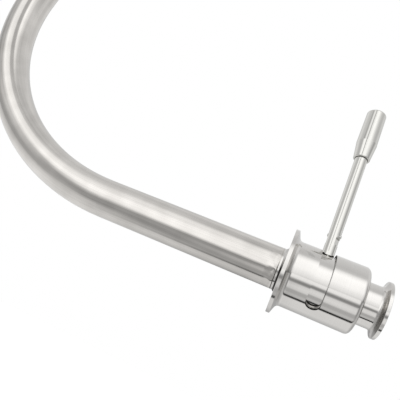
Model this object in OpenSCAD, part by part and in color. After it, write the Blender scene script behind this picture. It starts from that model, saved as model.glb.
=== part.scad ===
// Swivelling racking arm for a tank: a bent draw-off tube that turns in a sealed
// housing, between a large clamp ferrule on the tank side and a small one at the outlet.
// The valve axis is X. The flat face of the tank ferrule lies on x = 0, the arm reaches
// toward -X, the outlet looks toward +X, and the lever and the bend point to +Z at rest.

/* [Clamp ferrules] */
// Outer diameter of the tank-side clamp flange
tank_flange_d = 77.5; // [74:0.5:91]
// Thickness of the tank-side flange at its rim
tank_rim_t = 3.4; // [2.5:0.1:5]
// Outer diameter of the outlet clamp flange
outlet_flange_d = 50.5; // [49:0.5:64]
// Thickness of the outlet flange at its rim
outlet_rim_t = 2.85; // [2.5:0.05:4]
// Slope of both flange backs, measured from the flat face
clamp_slope = 20; // [15:1:25]
// Radius of the half-round gasket grooves
groove_r = 1.6; // [1:0.1:2]
// Distance from a flange's rim to the middle of its gasket groove
groove_inset = 3.5; // [3:0.1:5]
// Radius of the rounding on the rims' edges
rim_edge_r = 0.3; // [0.2:0.1:1]

/* [Housing] */
// Outer diameter of the barrel
barrel_d = 60; // [58:0.5:64]
// Length from the tank face to the barrel's outlet end
barrel_l = 70; // [66:1:90]
// Radius of the rounding at the barrel's outlet end
barrel_end_r = 4; // [2:0.5:5]
// Radius of the fillet between each flange and its pipe
flange_fillet_r = 4; // [2:0.5:5]
// Wall thickness of the barrel round the rotor's bore
barrel_wall = 3.5; // [3:0.25:6]
// Width of the lead-in chamfer at the bore's mouth
bore_lead = 0.8; // [0.4:0.1:1.5]
// Thickness of the barrel's end wall
end_wall_t = 5; // [4:0.5:8]
// Depth of the outlet ferrule's socket in the end wall
socket_depth = 3.5; // [2:0.5:3.5]
// Distance from the barrel's outlet end to the outlet face
outlet_l = 20; // [14:1:40]

/* [Lever slot] */
// Distance from the tank face to the middle of the slot
slot_x = 33.2; // [30:0.2:38]
// Width of the slot
slot_w = 12.8; // [12:0.2:14.4]
// Angle that the lever turns forward from rest, about +X
turn_forward = 138.5; // [90:0.5:160]
// Angle that the lever turns back from rest, about -X
turn_back = 42; // [10:1:80]

/* [Rotor] */
// Radial running clearance between the rotor and its bore
run_clear = 0.05; // [0.02:0.01:0.09]
// Axial play of the rotor
end_float = 0.3; // [0.1:0.1:1]
// Depth of the rotor's front shoulder behind the tank face
nose_recess = 0.2; // [0.2:0.1:3]
// Length of the rotor's weld nose in front of the tank face
nose_l = 3.2; // [2.8:0.1:10]
// Leg of the 45 degree flare at the root of the weld nose
nose_flare = 1.9; // [0.5:0.1:2.4]

/* [Seals and bearings] */
// Cross-section of the rotor's O-rings, squeezed
oring_d = 3; // [2:0.1:3.5]
// Side room of each O-ring in its groove
oring_side_room = 0.4; // [0.2:0.1:1]
// Distance from the end of a rotor land to its nearest O-ring groove
land_edge = 3; // [2:0.5:5]
// Width of the guide rings
guide_w = 6; // [4:0.5:7]
// Thickness of the guide rings
guide_t = 2; // [1.5:0.1:3]
// Gap between the ends of a split guide ring
guide_split = 1; // [0.5:0.1:2]
// Thickness of the thrust ring
thrust_t = 2; // [1:0.1:3]
// Radial room around the thrust ring
thrust_room = 0.5; // [0.3:0.1:1]

/* [Tube] */
// Outer diameter of the tube
tube_d = 38.1; // [36:0.1:40]
// Wall thickness of the tube
tube_wall = 1.65; // [1.2:0.05:2]
// Length of the tube's straight run, from the tank face to the bend
tube_run_l = 180; // [80:5:400]
// Centreline radius of the bend
bend_r = 216; // [90:2:300]
// Angle of the bend
bend_angle = 90; // [30:5:150]
// Length of the straight end behind the bend
tail_l = 60; // [20:5:200]
// Width of the seam between the tube and the rotor's nose
seam_w = 0.8; // [0.6:0.1:3]
// Height that the weld seam stands proud
seam_h = 0.04; // [0.02:0.01:0.5]
// Leg of the fillet weld round the outlet neck
neck_weld_leg = 1.2; // [0.6:0.1:2]

/* [Lever] */
// Rod diameter at the foot
rod_foot_d = 11.1; // [8.6:0.1:11.8]
// Rod diameter at the grip
rod_top_d = 12.1; // [8.6:0.1:13]
// Distance from the valve axis to the mouth of the grip
grip_z = 134.2; // [90:0.2:250]
// Distance across the spanner flats near the foot
flats_w = 8; // [7.4:0.1:10.6]
// Length of the spanner flats
flats_l = 7; // [5:0.5:14]
// Distance from the rod's foot to the spanner flats
flats_foot = 11.5; // [6:0.5:16]
// Diameter of the cross pin
pin_d = 3.8; // [2:0.1:4]
// Length of the cross pin
pin_l = 13; // [11.8:0.1:15]
// Distance from the spanner flats to the middle of the cross pin
pin_rise = 2.4; // [2:0.1:5]
// Angle of the cross pin and of the flats about the lever, from the X axis
pin_turn = -30; // [-90:5:90]
// Diameter of the stud that joins the rod to the rotor
stud_d = 6; // [5:0.5:6]
// Depth of the stud in the rotor
stud_depth = 6.5; // [4:0.5:7]
// Length of the stud beyond the middle of the cross pin
stud_over_pin = 5; // [3:0.5:10]
// Depth of the flat seat under the rod in the rotor
seat_depth = 0.6; // [0.4:0.1:1.5]
// Height of the rod's foot above the rotor
foot_gap = 1.2; // [0.6:0.1:2]
// Cross-section of the lever seal
lever_seal_d = 1.8; // [1:0.1:1.8]

/* [Grip] */
// Grip diameter at its mouth
grip_mouth_d = 15.8; // [15:0.1:19]
// Largest grip diameter, at the end of the lower cone
grip_wide_d = 19.8; // [16:0.1:24]
// Grip diameter at the start of the rounded end
grip_top_d = 19.2; // [16:0.1:24]
// Length of the lower cone
grip_cone_l = 18.5; // [10:0.5:30]
// Length of the whole grip
grip_l = 56.4; // [44:0.2:100]
// Radius of the rounded end
grip_end_r = 2; // [1:0.5:7.5]
// Radius of the rounding at the mouth
grip_lip_r = 0.8; // [0.3:0.1:1]
// Radial room round the rod in the grip's mouth
mouth_room = 0.4; // [0.3:0.1:1]
// Depth of the recess in the grip's mouth
mouth_depth = 3; // [1:0.5:6]
// Diameter of the rod's threaded end in the grip
spigot_d = 8; // [6:0.5:8]
// Length of the rod's threaded end
spigot_l = 18; // [10:1:30]

/* [Hidden] */
$fn = 96;
fit = 0.05;            // clearance between pieces that are fixed to each other
cut = 1;               // how far cutting tools run past a face
tube_r = tube_d / 2;
flow_r = tube_r - tube_wall;
barrel_r = barrel_d / 2;
bore_r = barrel_r - barrel_wall;
rotor_r = bore_r - run_clear;
shoulder_x = barrel_l - end_wall_t;
rotor_end_x = shoulder_x - end_float - thrust_t;
outlet_x = barrel_l + outlet_l;
socket_x = barrel_l - socket_depth;
// O-ring grooves and guide rings share each rotor land, on both sides of the slot
oring_groove_w = oring_d + oring_side_room;
front_land = [nose_recess, slot_x - slot_w / 2];
rear_land = [slot_x + slot_w / 2, rotor_end_x];
seal_inset = land_edge + oring_groove_w / 2;
oring_floor_r = rotor_r - oring_d - fit;
guide_floor_r = rotor_r - guide_t;
// lever pieces are stacked from the seat outward
seat_z = rotor_r - seat_depth;
foot_z = rotor_r + foot_gap;
seal_pocket_r = stud_d / 2 + lever_seal_d + 2 * fit;
seal_pocket_z = seat_z - lever_seal_d - fit;
flats_z = foot_z + flats_foot;
pin_z = flats_z + flats_l + pin_rise;
stud_z = rotor_r - stud_depth;
stud_top_z = pin_z + stud_over_pin;
rod_shoulder_z = grip_z + mouth_depth;
seam_x = -nose_l - seam_w;

steel = "gainsboro";
weld = "darkgray";
rubber = "dimgray";
ptfe = "white";

// Turns a half profile, drawn with the axial distance as x and the radius as y, about X
module turned() {
    rotate([0, 90, 0]) rotate_extrude() mirror([1, -1, 0]) children();
}

// Turns a half profile through the lever's travel only
module turned_through_travel() {
    rotate([0, 90, 0]) rotate([0, 0, 180 - turn_back])
        rotate_extrude(angle = turn_back + turn_forward) mirror([1, -1, 0]) children();
}

// Rectangle from one corner to the opposite one
module span(from, to) {
    translate(from) square([to[0] - from[0], to[1] - from[1]]);
}

// Fills the inner corner at the origin toward +x and +y with a fillet
module inner_corner(r) {
    difference() {
        square(r);
        translate([r, r]) circle(r);
    }
}

// What a rounding takes off an outer corner whose metal lies toward -x and -y. The face
// toward +x may slope back by an angle, and the origin is one radius from the circle's centre
module outer_corner(r, slope = 0) {
    translate([-r, -r]) difference() {
        polygon([[0, 0], [0, r + cut], [r + cut, r + cut], (r + cut) * [cos(slope), sin(slope)]]);
        circle(r);
    }
}

// Half profile of a pipe that ends in a clamp flange: the flat face lies on x = 0 and the
// back slopes down to the pipe
module flanged_pipe(flange_d, rim_t, pipe_r, length) {
    corner_x = rim_t + (flange_d / 2 - pipe_r) * tan(clamp_slope);
    // where the fillet's circle touches the pipe, as a distance from the corner
    reach = flange_fillet_r * tan(45 - clamp_slope / 2);
    // where the rim's rounding touches the rim, as a distance from its back edge
    rim_reach = rim_edge_r * tan(45 - clamp_slope / 2);
    difference() {
        polygon([[0, flow_r], [0, flange_d / 2], [rim_t, flange_d / 2],
                 [corner_x - reach * sin(clamp_slope), pipe_r + reach * cos(clamp_slope)],
                 [corner_x + reach, pipe_r], [length, pipe_r], [length, flow_r]]);
        translate([corner_x + reach, pipe_r + flange_fillet_r]) circle(flange_fillet_r);
        translate([0, flange_d / 2]) mirror([1, 0]) outer_corner(rim_edge_r, 0);
        translate([rim_t - rim_reach + rim_edge_r, flange_d / 2]) outer_corner(rim_edge_r, clamp_slope);
    }
}

// Barrel with the tank ferrule, the rotor bore, the end wall and the lever slot
module housing() {
    color(steel) difference() {
        turned() difference() {
            flanged_pipe(tank_flange_d, tank_rim_t, barrel_r, barrel_l);
            translate([barrel_l, barrel_r]) outer_corner(barrel_end_r);
            span([-cut, 0], [shoulder_x, bore_r]);
            span([socket_x, 0], [barrel_l + cut, tube_r + fit]);
            polygon([[-cut, bore_r + bore_lead + cut], [bore_lead, bore_r], [-cut, bore_r]]);
            translate([0, tank_flange_d / 2 - groove_inset]) circle(groove_r);
        }
        turned_through_travel()
            span([slot_x - slot_w / 2, rotor_r - cut], [slot_x + slot_w / 2, barrel_r + cut]);
        for (turn = [-turn_back, turn_forward])
            rotate([turn, 0, 0]) translate([slot_x, 0, rotor_r - cut])
                cylinder(d = slot_w, h = barrel_r - rotor_r + 2 * cut);
    }
}

// Short clamp ferrule seated in the end wall
module outlet_ferrule() {
    color(steel) turned() difference() {
        translate([outlet_x, 0]) mirror([1, 0])
            flanged_pipe(outlet_flange_d, outlet_rim_t, tube_r, outlet_x - socket_x);
        translate([outlet_x, outlet_flange_d / 2 - groove_inset]) circle(groove_r);
    }
}

// Fillet weld in the corner between the barrel's end and the outlet neck
module neck_weld() {
    color(weld) turned() translate([barrel_l, tube_r]) inner_corner(neck_weld_leg);
}

// Seal and guide positions of one land, given as its two ends
function outer_seal_x(land) = land[0] + seal_inset;
function inner_seal_x(land) = land[1] - seal_inset;
function guide_x(land) = (outer_seal_x(land) + inner_seal_x(land)) / 2;

// Thick-walled rotor with its seal grooves, weld nose, flow bore and lever seat
module rotor() {
    color(steel) difference() {
        turned() difference() {
            union() {
                span([nose_recess, flow_r], [rotor_end_x, rotor_r]);
                span([-nose_l, flow_r], [nose_recess, tube_r]);
                polygon([[nose_recess - nose_flare, tube_r], [nose_recess, tube_r],
                         [nose_recess, tube_r + nose_flare]]);
            }
            for (land = [front_land, rear_land]) {
                for (x = [outer_seal_x(land), inner_seal_x(land)])
                    span([x - oring_groove_w / 2, oring_floor_r], [x + oring_groove_w / 2, rotor_r + cut]);
                span([guide_x(land) - guide_w / 2 - fit, guide_floor_r],
                     [guide_x(land) + guide_w / 2 + fit, rotor_r + cut]);
            }
        }
        translate([slot_x, 0, seat_z]) cylinder(d = slot_w, h = seat_depth + cut);
        translate([slot_x, 0, seal_pocket_z]) cylinder(r = seal_pocket_r, h = lever_seal_d + fit + cut);
        translate([slot_x, 0, stud_z - fit]) cylinder(d = stud_d + 2 * fit, h = stud_depth + cut);
    }
}

// O-ring round the rotor, as squeezed by the bore
module rotor_oring(x) {
    color(rubber) turned() translate([x, rotor_r - oring_d / 2]) circle(d = oring_d);
}

// Split bearing band in its groove round the rotor
module guide_ring(x) {
    color(ptfe) difference() {
        turned() span([x - guide_w / 2, guide_floor_r + fit], [x + guide_w / 2, rotor_r]);
        translate([x - guide_w / 2 - cut, -guide_split / 2, -barrel_r])
            cube([guide_w + 2 * cut, guide_split, barrel_r]);
    }
}

// Bearing washer between the rotor's end and the end wall
module thrust_ring() {
    color(ptfe) turned()
        span([rotor_end_x, flow_r + thrust_room], [rotor_end_x + thrust_t, bore_r - thrust_room]);
}

// Centreline solid of the tube at one diameter, run past both ends by extra
module tube_path(d, extra) {
    translate([-tube_run_l, 0, 0]) rotate([0, 90, 0])
        cylinder(d = d, h = tube_run_l + seam_x + extra);
    translate([-tube_run_l, 0, bend_r]) rotate([90, 0, 0]) rotate([0, 0, -90 - bend_angle])
        rotate_extrude(angle = bend_angle) translate([bend_r, 0]) circle(d = d);
    translate([-tube_run_l - bend_r * sin(bend_angle), 0, bend_r * (1 - cos(bend_angle))])
        rotate([0, bend_angle - 90, 0]) cylinder(d = d, h = tail_l + extra);
}

// Draw-off tube: straight run, long-radius bend and short straight end
module racking_tube() {
    color(steel) difference() {
        tube_path(tube_d, 0);
        tube_path(2 * flow_r, cut);
    }
}

// Butt weld between the tube and the rotor's nose
module tube_seam() {
    color(weld) turned() span([seam_x, flow_r], [-nose_l, tube_r + seam_h]);
}

// Places lever pieces on the slot's middle, turned to the pin's direction
module on_lever(z) {
    translate([slot_x, 0, z]) rotate([0, 0, pin_turn]) children();
}

// Ring that seals the stud, flush in a pocket of the rotor's seat
module lever_seal() {
    color(rubber) on_lever(seat_z - lever_seal_d / 2)
        rotate_extrude() translate([(stud_d + lever_seal_d) / 2 + fit, 0]) circle(d = lever_seal_d);
}

// Bore for the cross pin through the rod and the stud
module cross_hole() {
    on_lever(pin_z) rotate([0, 90, 0]) cylinder(d = pin_d + 2 * fit, h = pin_l + 2 * cut, center = true);
}

// Threaded stud, screwed into the rotor and pinned in the rod
module lever_stud() {
    color(steel) difference() {
        on_lever(stud_z) cylinder(d = stud_d, h = stud_top_z - stud_z);
        cross_hole();
    }
}

// Lever rod with spanner flats, cross hole, stud socket and threaded end
module lever_rod() {
    color(steel) difference() {
        on_lever(0) {
            translate([0, 0, foot_z]) cylinder(d1 = rod_foot_d, d2 = rod_top_d, h = rod_shoulder_z - foot_z);
            translate([0, 0, rod_shoulder_z]) cylinder(d = spigot_d, h = spigot_l);
        }
        for (side = [0, 180])
            on_lever(flats_z) rotate([0, 0, side]) translate([flats_w / 2, -rod_top_d / 2, 0])
                cube([rod_top_d, rod_top_d, flats_l]);
        on_lever(foot_z - cut) cylinder(d = stud_d + 2 * fit, h = stud_top_z + fit - foot_z + cut);
        cross_hole();
    }
}

// Dowel with domed ends that stand slightly proud of the rod
module cross_pin() {
    color(steel) on_lever(pin_z) rotate([0, 90, 0]) rotate_extrude() difference() {
        span([0, -pin_l / 2], [pin_d / 2, pin_l / 2]);
        for (side = [0, 1])
            mirror([0, side]) translate([pin_d / 2, pin_l / 2]) outer_corner(pin_d / 4);
    }
}

// Tapered cylinder with a rounded end, screwed on the rod
module lever_grip() {
    end_z = grip_l - grip_end_r;
    color(steel) translate([slot_x, 0, grip_z]) rotate_extrude() difference() {
        union() {
            polygon([[0, 0], [grip_mouth_d / 2, 0], [grip_wide_d / 2, grip_cone_l],
                     [grip_top_d / 2, end_z], [0, end_z]]);
            span([0, end_z - cut], [grip_top_d / 2 - grip_end_r, grip_l]);
            intersection() {
                translate([grip_top_d / 2 - grip_end_r, end_z]) circle(grip_end_r);
                span([0, end_z - cut], [grip_top_d / 2, grip_l]);
            }
        }
        translate([grip_mouth_d / 2, 0]) mirror([0, 1]) outer_corner(grip_lip_r);
        span([0, -cut], [rod_top_d / 2 + mouth_room, mouth_depth]);
        span([0, 0], [spigot_d / 2 + fit, mouth_depth + spigot_l + fit]);
    }
}

housing();
outlet_ferrule();
neck_weld();
rotor();
racking_tube();
tube_seam();
rotor_oring(outer_seal_x(front_land));  // oring_tank_outer
rotor_oring(inner_seal_x(front_land));  // oring_tank_inner
rotor_oring(outer_seal_x(rear_land));  // oring_outlet_inner
rotor_oring(inner_seal_x(rear_land));  // oring_outlet_outer
guide_ring(guide_x(front_land));  // guide_ring_tank
guide_ring(guide_x(rear_land));  // guide_ring_outlet
thrust_ring();
lever_seal();
lever_stud();
lever_rod();
cross_pin();
lever_grip();
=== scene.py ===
"""Looks of the rotating racking arm: bright studio, polished and ground stainless steel,
cleaned weld beads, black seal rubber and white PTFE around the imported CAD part."""

import math

import bpy
from mathutils import Matrix, Vector

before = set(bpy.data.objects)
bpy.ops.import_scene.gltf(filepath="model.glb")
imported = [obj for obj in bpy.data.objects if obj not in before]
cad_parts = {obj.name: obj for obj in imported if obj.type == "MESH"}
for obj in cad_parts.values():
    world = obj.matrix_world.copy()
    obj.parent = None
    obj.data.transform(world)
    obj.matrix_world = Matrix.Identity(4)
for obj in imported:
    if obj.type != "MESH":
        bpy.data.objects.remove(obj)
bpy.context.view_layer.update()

MM = 0.001

# ---------------------------------------------------------------- small helpers


def linear(hex_colour):
    """sRGB hex to the linear RGBA that a shader socket takes."""
    values = [int(hex_colour[i:i + 2], 16) / 255 for i in (1, 3, 5)]
    return tuple(v / 12.92 if v <= 0.04045 else ((v + 0.055) / 1.055) ** 2.4 for v in values) + (1.0,)


def add(tree, kind, inputs=(), **settings):
    """Adds one node. inputs maps a socket's name or number to a value or to another node's output."""
    node = tree.nodes.new(kind)
    for name, value in settings.items():
        setattr(node, name, value)
    for key, value in dict(inputs).items():
        if isinstance(value, bpy.types.NodeSocket):
            tree.links.new(value, node.inputs[key])
        else:
            node.inputs[key].default_value = value
    return node


def new_material(name):
    """An empty node material with its output; returns (material, tree, output)."""
    material = bpy.data.materials.new(name)
    material.use_nodes = True
    material.node_tree.nodes.clear()
    return material, material.node_tree, add(material.node_tree, "ShaderNodeOutputMaterial")


def set_stops(ramp, stops):
    """Gives a colour ramp grey stops, as (position, brightness) pairs."""
    elements = ramp.color_ramp.elements
    while len(elements) < len(stops):
        elements.new(0.5)
    for element, (position, grey) in zip(elements, stops):
        element.position = position
        element.color = (grey, grey, grey, 1.0)


# ---------------------------------------------------------------- studio

# What the steel mirrors: bands of brightness all round the object, which the camera doesn't see.
# Each list belongs to one direction along the valve axis, in degrees from square on toward the
# outlet. It pairs angles about that axis, 0 toward the camera's side and 90 overhead, with a
# brightness, where 1 is white. The bands are no lamps or boards: they were set to the
# brightness measured on the real object's steel, and hold for the camera's side only.
FRONT = [(-180, 0.54), (-164, 0.60), (-150, 0.76), (-136, 0.92), (-100, 0.94), (-96.3, 0.88), (-94.8, 0.04),
         (-88.3, 0.04), (-86.3, 0.66), (-79, 0.70), (-73, 0.56), (-64, 0.56), (-59, 0.90), (-50, 1.00),
         (-40, 0.92), (-36, 0.40), (-31, 0.30), (-27, 0.50), (-22, 1.14), (-14, 1.22), (-10, 0.98),
         (-7, 1.10), (2, 1.22), (14, 1.40), (42, 1.50), (50, 1.36), (57, 1.10), (63, 0.80), (72, 0.72),
         (96, 0.80), (146, 0.86), (166, 0.44)]
NEAR_TUBE = [(-180, 0.24), (-160, 0.46), (-136, 0.70), (-104, 0.80), (-97, 0.70), (-94, 0.20), (-88, 0.20),
             (-84, 0.44), (-70, 0.46), (-56, 0.64), (-49, 0.66), (-44, 0.42), (-32, 0.38), (-26, 0.80),
             (-18, 1.32), (16, 1.34), (36, 1.28), (48, 1.18), (58, 0.86), (64, 0.64), (84, 0.70),
             (104, 0.92), (128, 0.78), (150, 0.94), (166, 0.36)]
MID_TUBE = [(-180, 0.60), (-156, 0.64), (-120, 0.84), (-98, 0.82), (-92, 0.52), (-80, 0.56), (-70, 0.44),
            (-58, 0.38), (-46, 0.46), (-32, 0.48), (-24, 0.84), (-15, 1.42), (0, 1.52), (16, 1.46),
            (30, 1.20), (50, 1.12), (62, 0.84), (90, 0.72), (112, 0.80), (138, 0.70), (156, 0.66),
            (172, 0.70)]
BEND_START = [(-180, 0.84), (-148, 0.92), (-130, 0.96), (-104, 0.84), (-70, 0.82), (-60, 0.60), (-52, 0.42),
              (-30, 0.44), (-16, 0.72), (-6, 1.22), (14, 1.52), (28, 1.44), (48, 1.16), (72, 0.88),
              (96, 0.78), (120, 0.82), (150, 0.74), (170, 0.80)]
BEND_MIDDLE = [(-180, 0.90), (-150, 0.90), (-72, 0.84), (-56, 0.74), (-46, 0.56), (-14, 0.48), (2, 0.74),
               (18, 1.24), (34, 1.46), (41, 1.00), (47, 0.54), (56, 0.56), (66, 0.90), (96, 0.88),
               (122, 0.96), (150, 0.84)]
BEND_SIDE = [(-180, 0.94), (-140, 1.06), (-110, 0.98), (-75, 0.88), (-60, 0.66), (-46, 0.48), (-32, 0.50),
             (-8, 0.72), (10, 0.86), (24, 0.70), (38, 0.64), (60, 0.70), (92, 0.82), (125, 1.00), (150, 0.92)]
LEFT_WALL = [(-180, 0.80), (-140, 0.88), (-90, 0.80), (-60, 0.66), (-44, 0.52), (-20, 0.48), (0, 0.56),
             (14, 0.72), (26, 0.60), (76, 0.64), (92, 0.74), (125, 0.92), (150, 0.80)]
RIGHT_BOARDS = [(-180, 0.60), (-150, 0.46), (-110, 0.72), (-90, 0.48), (-60, 0.28), (-13, 0.24), (-9, 0.80),
                (16, 1.12), (44, 0.84), (60, 0.84), (84, 0.86), (110, 0.86), (130, 0.76), (148, 0.60),
                (166, 0.50)]
RIGHT_WALL = [(-180, 0.74), (-130, 0.60), (-96, 0.62), (-70, 0.66), (-20, 0.60), (-6, 0.20), (6, 0.44),
              (34, 0.56), (58, 0.42), (80, 0.56), (96, 0.76), (116, 0.92), (150, 1.00)]
STATIONS = [(-74, LEFT_WALL), (-52, BEND_SIDE), (-38, BEND_MIDDLE), (-29, BEND_START), (-17, MID_TUBE),
            (-4, NEAR_TUBE), (3, FRONT), (14, FRONT), (38, RIGHT_BOARDS), (64, RIGHT_WALL)]


def brightness_ramp(tree, turn, bands):
    """A ramp over the angle about the valve axis, where the ramp's 0 to 1 is -180 to 180 degrees.
    Ramp colours stop at 1, so brightness is halved here and doubled after mixing."""
    ramp = add(tree, "ShaderNodeValToRGB", {"Fac": turn})
    set_stops(ramp, [((angle + 180) / 360, grey / 2) for angle, grey in bands])
    return ramp.outputs["Color"]


def make_world():
    """White behind the object, and the bands in its place in everything that the steel mirrors."""
    world = bpy.data.worlds.new("studio")
    bpy.context.scene.world = world
    world.use_nodes = True
    tree = world.node_tree
    tree.nodes.clear()
    direction = add(tree, "ShaderNodeTexCoord").outputs["Generated"]
    axes = add(tree, "ShaderNodeSeparateXYZ", {"Vector": direction})
    forward = add(tree, "ShaderNodeMath", {0: axes.outputs["Y"], 1: -1.0}, operation="MULTIPLY")
    turn = add(tree, "ShaderNodeMath", {0: axes.outputs["Z"], 1: forward.outputs[0]}, operation="ARCTAN2")
    turn = add(tree, "ShaderNodeMapRange", {"Value": turn.outputs[0], "From Min": -math.pi,
                                            "From Max": math.pi}).outputs["Result"]
    side = add(tree, "ShaderNodeMath", {0: axes.outputs["X"]}, operation="ARCSINE")
    side = add(tree, "ShaderNodeMath", {0: side.outputs[0]}, operation="DEGREES").outputs[0]
    mirrored = brightness_ramp(tree, turn, STATIONS[0][1])
    for (start, _), (stop, bands) in zip(STATIONS, STATIONS[1:]):
        along = add(tree, "ShaderNodeMapRange", {"Value": side, "From Min": start, "From Max": stop})
        mixed = add(tree, "ShaderNodeMix", {"Factor": along.outputs["Result"], "A": mirrored,
                                            "B": brightness_ramp(tree, turn, bands)}, data_type="RGBA")
        mirrored = mixed.outputs["Result"]
    studio = add(tree, "ShaderNodeBackground", {"Color": mirrored, "Strength": 2.0})
    white = add(tree, "ShaderNodeBackground", {"Color": (1, 1, 1, 1), "Strength": 1.0})
    path = add(tree, "ShaderNodeLightPath")
    seen = add(tree, "ShaderNodeMath", {0: path.outputs["Is Camera Ray"],
                                        1: path.outputs["Is Transmission Ray"]}, operation="MAXIMUM")
    both = add(tree, "ShaderNodeMixShader", {0: seen.outputs[0], 1: studio.outputs[0], 2: white.outputs[0]})
    add(tree, "ShaderNodeOutputWorld", {"Surface": both.outputs[0]})


FLOOR_BELOW = 250 * MM      # the lever and the bend swing clear of the floor at both limits
FLOOR_HALF = 4.0            # metres
FLOOR_LIFT = 0.35           # glow that brings the floor to white in the picture, and lights nothing


def make_floor():
    """Plain white floor that keeps the object's soft shadow."""
    mesh = bpy.data.meshes.new("floor")
    h = FLOOR_HALF
    corners = [(-h, -h), (h, -h), (h, h), (-h, h)]
    mesh.from_pydata([(x, y, -FLOOR_BELOW) for x, y in corners], [], [(0, 1, 2, 3)])
    floor = bpy.data.objects.new("floor", mesh)
    bpy.context.scene.collection.objects.link(floor)
    material, tree, output = new_material("white_studio_floor")
    path = add(tree, "ShaderNodeLightPath")
    diffuse = add(tree, "ShaderNodeBsdfDiffuse", {"Color": linear("#E9E9E8")})
    lift = add(tree, "ShaderNodeMath", {0: path.outputs["Is Camera Ray"], 1: FLOOR_LIFT},
               operation="MULTIPLY")
    glow = add(tree, "ShaderNodeEmission", {"Color": (1, 1, 1, 1), "Strength": lift.outputs[0]})
    both = add(tree, "ShaderNodeAddShader", {0: diffuse.outputs[0], 1: glow.outputs[0]})
    tree.links.new(both.outputs[0], output.inputs["Surface"])
    mesh.materials.append(material)
    floor.visible_glossy = False      # the steel mirrors the bands in its place


def make_lamp():
    """One large soft lamp overhead, for the floor's shadow."""
    light = bpy.data.lights.new("overhead_soft_lamp", "AREA")
    light.shape = "DISK"
    light.size = 1.2
    light.energy = 9.0
    lamp = bpy.data.objects.new("overhead_soft_lamp", light)
    lamp.location = (-0.5, -0.7, 1.6)
    aim = Vector((-0.16, 0, 0)) - lamp.location
    lamp.rotation_euler = aim.to_track_quat("-Z", "Y").to_euler()
    lamp.visible_glossy = False
    bpy.context.scene.collection.objects.link(lamp)


def make_card():
    """A narrow pale grey card upright before the lever. It draws the lever's fine centre line and
    is seen in nothing but the polished steel."""
    mesh = bpy.data.meshes.new("lever_card")
    left, right, depth, low, high = 18 * MM, 24 * MM, -38 * MM, 44 * MM, 240 * MM
    mesh.from_pydata([(left, depth, low), (right, depth, low), (right, depth, high), (left, depth, high)],
                     [], [(0, 1, 2, 3)])
    card = bpy.data.objects.new("lever_card", mesh)
    bpy.context.scene.collection.objects.link(card)
    material, tree, output = new_material("grey_studio_card")
    glow = add(tree, "ShaderNodeEmission", {"Color": (1, 1, 1, 1), "Strength": 0.62})
    tree.links.new(glow.outputs[0], output.inputs["Surface"])
    mesh.materials.append(material)
    card.visible_camera = card.visible_diffuse = card.visible_shadow = card.visible_transmission = False


def make_camera():
    """Camera in front of the tank flange, below the valve axis and rolled, as in a hand-held view."""
    camera = bpy.data.objects.new("camera", bpy.data.cameras.new("camera"))
    camera.data.sensor_width = 36
    camera.data.lens = 39.9
    right = Vector((0.90909, 0.06579, 0.41134)).normalized()
    back = right.cross(Vector((-0.35137, -0.40942, 0.84200))).normalized()
    up = back.cross(right)
    turn = Matrix((right, up, back)).transposed().to_4x4()
    camera.matrix_world = Matrix.Translation((0.78 * MM, -388.4 * MM, -114.8 * MM)) @ turn
    camera.data.clip_start = 0.01
    camera.data.clip_end = 100
    bpy.context.scene.collection.objects.link(camera)
    bpy.context.scene.camera = camera


# ---------------------------------------------------------------- finishes


def band(tree, value, centre_mm, half_mm):
    """1 where a distance lies within half_mm of centre_mm, else 0."""
    return add(tree, "ShaderNodeMath", {0: value, 1: centre_mm * MM, 2: half_mm * MM},
               operation="COMPARE").outputs[0]


def product(tree, first, second):
    return add(tree, "ShaderNodeMath", {0: first, 1: second}, operation="MULTIPLY").outputs[0]


PAINTED_DARK = "#1E1C1A"            # near black, for painted shade and painted reflections on the steel
DULL_ROUGHNESS = 0.5
CLOUD = 22 * MM             # how far apart the buffing wheel's slow changes of polish lie


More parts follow.
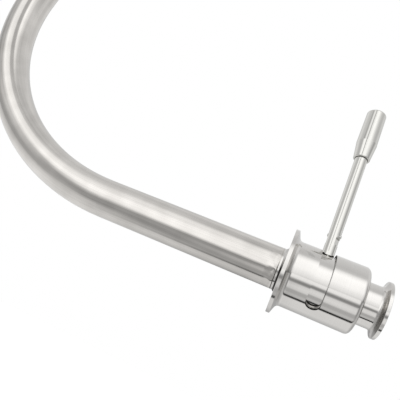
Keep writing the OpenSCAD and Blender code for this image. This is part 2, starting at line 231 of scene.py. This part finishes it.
def steel(name, colour, roughness, spread, across, grain_mm, depth_mm, shade=None, wave=None):
    """Stainless steel: full metal, a slow change of polish over the surface and fine grain lines.

    across(tree, place) gives the coordinate, in metres, that the grain lines are drawn across.
    shade(tree, place), if given, is 1 where painted shade and painted reflections make the metal nearly black
    and matt.
    wave(tree, place), if given, is the height in metres of a warp in the surface.
    """
    material, tree, output = new_material(name)
    place = add(tree, "ShaderNodeTexCoord").outputs["Object"]
    lines = add(tree, "ShaderNodeTexNoise", {"Vector": across(tree, place), "Scale": 1 / (grain_mm * MM),
                                             "Detail": 3.0, "Roughness": 0.6})
    cloud = add(tree, "ShaderNodeTexNoise", {"Vector": place, "Scale": 1 / CLOUD, "Detail": 3.0})
    mixed = add(tree, "ShaderNodeMath", {0: lines.outputs["Fac"], 1: cloud.outputs["Fac"]}, operation="ADD")
    rough = add(tree, "ShaderNodeMapRange", {"Value": mixed.outputs[0], "From Min": 0.6, "From Max": 1.4,
                                             "To Min": roughness - spread, "To Max": roughness + spread})
    rough = rough.outputs["Result"]
    tint = add(tree, "ShaderNodeMapRange", {"Value": mixed.outputs[0], "From Min": 0.6, "From Max": 1.4})
    hue = add(tree, "ShaderNodeMix", {"Factor": tint.outputs["Result"], "A": linear(colour[0]),
                                      "B": linear(colour[1])}, data_type="RGBA").outputs["Result"]
    if shade:
        # painted shade and painted reflections: the colour goes toward near black and the metal goes matt
        painted_dark = shade(tree, place)
        hue = add(tree, "ShaderNodeMix", {"Factor": painted_dark, "A": hue, "B": linear(PAINTED_DARK)},
                  data_type="RGBA").outputs["Result"]
        rough = add(tree, "ShaderNodeMix", {"Factor": painted_dark, "A": rough, "B": DULL_ROUGHNESS})
        rough = rough.outputs["Result"]
    bump = add(tree, "ShaderNodeBump", {"Height": lines.outputs["Fac"], "Distance": depth_mm * MM})
    if wave:
        warp = add(tree, "ShaderNodeBump", {"Height": wave(tree, place), "Distance": 1.0})
        tree.links.new(warp.outputs["Normal"], bump.inputs["Normal"])
    shader = add(tree, "ShaderNodeBsdfPrincipled", {"Base Color": hue, "Metallic": 1.0, "Roughness": rough,
                                                    "Normal": bump.outputs["Normal"]})
    tree.links.new(shader.outputs["BSDF"], output.inputs["Surface"])
    return material


def from_valve_axis(tree, place):
    """(distance along X, distance from the valve axis) of a place."""
    axes = add(tree, "ShaderNodeSeparateXYZ", {"Vector": place})
    flat = add(tree, "ShaderNodeCombineXYZ", {"Y": axes.outputs["Y"], "Z": axes.outputs["Z"]})
    radius = add(tree, "ShaderNodeVectorMath", {0: flat.outputs[0]}, operation="LENGTH")
    return axes.outputs["X"], radius.outputs["Value"]


def round_valve_axis(tree, place):
    """Rings round the valve axis: distance along X and from the axis, so turning marks run round."""
    along, radius = from_valve_axis(tree, place)
    return add(tree, "ShaderNodeCombineXYZ", {"X": along, "Y": radius}).outputs[0]


SLOT_X_MM = 33.2
NOSE_X_MM = -1.0
SEAM_X_MM = -3.4


def slot_walls_painted_shade(tree, place):
    """The walls of the lever slot, milled and not polished, with painted shade on them: inside the barrel's
    skin, in the slot's width. The painted shade is darkest toward the skin."""
    along, radius = from_valve_axis(tree, place)
    edge = add(tree, "ShaderNodeMapRange", {"Value": radius, "From Min": 27.3 * MM, "From Max": 28.0 * MM,
                                            "To Min": 0.15})
    walls = product(tree, band(tree, along, SLOT_X_MM, 6.5), band(tree, radius, 28.05, 1.9))
    return product(tree, walls, edge.outputs["Result"])


LOW_FRONT = (0.0, -0.643, -0.766)       # from the valve axis forward and 50 degrees down


def outlet_root(tree, place):
    """A dark crescent low on the front of the outlet ferrule's sloped back. It stands in for
    something dark that the metal mirrors there and that this studio doesn't hold."""
    along, radius = from_valve_axis(tree, place)
    cone = product(tree, band(tree, along, 86.0, 2.6), band(tree, radius, 22.2, 2.9))
    low = add(tree, "ShaderNodeVectorMath", {0: place, 1: LOW_FRONT}, operation="DOT_PRODUCT")
    low = add(tree, "ShaderNodeMapRange", {"Value": low.outputs["Value"], "From Min": 16.5 * MM,
                                           "From Max": 20 * MM, "To Max": 0.52})
    return product(tree, cone, low.outputs["Result"])


def underside(tree, place, above, below):
    """One value above the valve axis and another below it, with a short blend."""
    height = add(tree, "ShaderNodeSeparateXYZ", {"Vector": place}).outputs["Z"]
    low = add(tree, "ShaderNodeMapRange", {"Value": height, "From Min": 2 * MM, "From Max": -5 * MM,
                                           "To Min": above, "To Max": below})
    return low.outputs["Result"]


def nose_painted_shade(tree, place):
    """The flare at the rotor's nose, with painted shade in its corner, darkest underneath. It
    isn't known whether the real one is unpolished there or mirrors something dark.
    """
    along, radius = from_valve_axis(tree, place)
    corner = product(tree, band(tree, along, NOSE_X_MM, 1.35), band(tree, radius, 22.8, 3.7))
    return product(tree, corner, underside(tree, place, 0.2, 0.96))


def seam_painted_shade(tree, place):
    """The tube's seam, with painted shade underneath, as at the rotor's nose."""
    along, _ = from_valve_axis(tree, place)
    return product(tree, band(tree, along, SEAM_X_MM, 1.0), underside(tree, place, 0.0, 0.75))


def joint_warp(tree, place):
    """Shallow waves beside the tube's seam, as from a weld's heat, gone 14 mm from the tank face. They
    are in the shading only, and kink the bands that the tube mirrors."""
    axes = add(tree, "ShaderNodeSeparateXYZ", {"Vector": place})
    near = add(tree, "ShaderNodeMapRange", {"Value": axes.outputs["X"], "From Min": -14 * MM,
                                            "From Max": -4 * MM, "To Max": 1.2 * MM},
               interpolation_type="SMOOTHSTEP")
    waves = add(tree, "ShaderNodeTexNoise", {"Vector": place, "Scale": 1 / (9 * MM), "Detail": 1.0})
    return product(tree, near.outputs["Result"], waves.outputs["Fac"])


def round_lever(tree, place):
    """Rings round the lever: height along Z only, so turning marks run round."""
    axes = add(tree, "ShaderNodeSeparateXYZ", {"Vector": place})
    return add(tree, "ShaderNodeCombineXYZ", {"X": axes.outputs["Z"]}).outputs[0]


TUBE_RUN = 180 * MM         # straight run from the tank face to the bend
BEND_R = 216 * MM           # centreline of the bend


def along_tube(tree, place):
    """Lines along the tube: the place in its cross-section, followed round the bend. It is the
    distance from the bend's centre, measured only where the tube is past the straight's end."""
    centre = add(tree, "ShaderNodeVectorMath", {0: place, 1: (TUBE_RUN, 0.0, -BEND_R)}, operation="ADD")
    ahead = add(tree, "ShaderNodeVectorMath", {0: centre.outputs[0], 1: (0.0, 0.0, 0.0)}, operation="MINIMUM")
    axes = add(tree, "ShaderNodeSeparateXYZ", {"Vector": ahead.outputs[0]})
    flat = add(tree, "ShaderNodeCombineXYZ", {"X": axes.outputs["X"], "Z": axes.outputs["Z"]})
    radius = add(tree, "ShaderNodeVectorMath", {0: flat.outputs[0]}, operation="LENGTH")
    across = add(tree, "ShaderNodeSeparateXYZ", {"Vector": place}).outputs["Y"]
    return add(tree, "ShaderNodeCombineXYZ", {"X": radius.outputs["Value"], "Y": across}).outputs[0]


def dark_line(tree, angle, along, centre, half, start_mm, end_mm, most):
    """A dark line along the tube: half degrees to each side of centre round the section, with edges
    as wide again, growing to most from start_mm to end_mm along X."""
    off = add(tree, "ShaderNodeMath", {0: angle, 1: math.radians(centre)}, operation="SUBTRACT")
    off = add(tree, "ShaderNodeMath", {0: off.outputs[0]}, operation="ABSOLUTE")
    mark = add(tree, "ShaderNodeMapRange", {"Value": off.outputs[0], "From Min": math.radians(2 * half),
                                            "From Max": math.radians(half)})
    grown = add(tree, "ShaderNodeMapRange", {"Value": along, "From Min": start_mm * MM,
                                             "From Max": end_mm * MM, "To Max": most})
    return product(tree, mark.outputs["Result"], grown.outputs["Result"])


def bend_streaks(tree, place):
    """Two dark lines along the bend: a narrow one on its inner front and a wide faint one on its
    outer front. They stand in for reflections of things close by that this studio doesn't hold,
    and stay on the metal from every side. The angle is 0 at the front of the section and 90
    toward the bend's centre."""
    section = add(tree, "ShaderNodeSeparateXYZ", {"Vector": along_tube(tree, place)})
    inward = add(tree, "ShaderNodeMath", {0: BEND_R, 1: section.outputs["X"]}, operation="SUBTRACT")
    front = add(tree, "ShaderNodeMath", {0: section.outputs["Y"], 1: -1.0}, operation="MULTIPLY")
    angle = add(tree, "ShaderNodeMath", {0: inward.outputs[0], 1: front.outputs[0]}, operation="ARCTAN2")
    angle = angle.outputs[0]
    along = add(tree, "ShaderNodeSeparateXYZ", {"Vector": place}).outputs["X"]
    inner = dark_line(tree, angle, along, 24, 4, -200, -380, 0.52)
    outer = dark_line(tree, angle, along, -32, 9, -308, -375, 0.32)
    return add(tree, "ShaderNodeMath", {0: inner, 1: outer}, operation="ADD").outputs[0]


def plain_finish(name, dark, light, grain_mm, roughness, depth_mm, **sockets):
    """A moulded or sintered non-metal: two close shades in a fine grain with a matching bump."""
    material, tree, output = new_material(name)
    place = add(tree, "ShaderNodeTexCoord").outputs["Object"]
    grain = add(tree, "ShaderNodeTexNoise", {"Vector": place, "Scale": 1 / (grain_mm * MM), "Detail": 4.0})
    hue = add(tree, "ShaderNodeMix", {"Factor": grain.outputs["Fac"], "A": linear(dark), "B": linear(light)},
              data_type="RGBA")
    rough = add(tree, "ShaderNodeMapRange", {"Value": grain.outputs["Fac"], "To Min": roughness - 0.06,
                                             "To Max": roughness + 0.06})
    bump = add(tree, "ShaderNodeBump", {"Height": grain.outputs["Fac"], "Distance": depth_mm * MM})
    shader = add(tree, "ShaderNodeBsdfPrincipled", {"Base Color": hue.outputs["Result"], "Metallic": 0.0,
                                                    "Roughness": rough.outputs["Result"],
                                                    "Normal": bump.outputs["Normal"], **sockets})
    tree.links.new(shader.outputs["BSDF"], output.inputs["Surface"])
    return material


make_world()
make_floor()
make_lamp()
make_card()
make_camera()

# 304 stainless, turned on a lathe and buffed: mirror-like, with faint rings round the axis
BUFFED = ("#D0CECB", "#DAD8D5")
# on the barrel, with painted shade on the walls of the lever slot
polished_barrel = steel("buffed_stainless_turned", BUFFED, 0.07, 0.02, round_valve_axis, 1.2, 0.0003,
                        shade=slot_walls_painted_shade)
# the same on the outlet ferrule, with the dark crescent on its sloped back
polished_outlet = steel("buffed_stainless_outlet", BUFFED, 0.07, 0.02, round_valve_axis, 1.2, 0.0003,
                        shade=outlet_root)
# the same on the rotor, with painted shade on the flare at its nose
polished_rotor = steel("buffed_stainless_rotor", BUFFED, 0.07, 0.02, round_valve_axis, 1.2, 0.0003,
                       shade=nose_painted_shade)
# the same bar, turned about the lever's own axis
polished_lever = steel("buffed_stainless_lever", ("#D0CFCB", "#DAD9D5"), 0.08, 0.02, round_lever, 1.2, 0.0006)
# 304 welded tube, ground along its length with fine belts: bands stay but their edges soften
ground_tube = steel("ground_stainless_tube", ("#C3C0BC", "#DEDBD7"), 0.09, 0.03, along_tube, 1.0, 0.0012,
                    shade=bend_streaks, wave=joint_warp)
# TIG bead, brushed and pickled: duller and slightly warmer than the metal beside it
# with painted shade under the tube's seam
weld_bead = steel("pickled_weld_bead", ("#BDB9B3", "#CECBC6"), 0.20, 0.05, round_valve_axis, 1.5, 0.001,
                  shade=seam_painted_shade)
# EPDM food-grade rubber: near black with a soft sheen from the mould
seal_rubber = plain_finish("moulded_epdm_rubber", "#0D0D0D", "#161616", 1.5, 0.55, 0.01, IOR=1.52)
# PTFE skived from a billet: waxy white
ptfe = plain_finish("skived_ptfe", "#E6E6E1", "#F1F1EC", 2.0, 0.45, 0.01, IOR=1.35)

FINISH = {
    polished_barrel: ["housing"],
    polished_outlet: ["outlet_ferrule"],
    polished_rotor: ["rotor"],
    polished_lever: ["lever_rod", "lever_grip", "cross_pin", "lever_stud"],
    ground_tube: ["racking_tube"],
    weld_bead: ["neck_weld", "tube_seam"],
    seal_rubber: ["oring_tank_outer", "oring_tank_inner", "oring_outlet_inner", "oring_outlet_outer",
                  "lever_seal"],
    ptfe: ["guide_ring_tank", "guide_ring_outlet", "thrust_ring"],
}
for material, names in FINISH.items():
    for name in names:
        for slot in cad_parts[name].material_slots:
            slot.material = material

bpy.context.scene.view_settings.view_transform = "Standard"
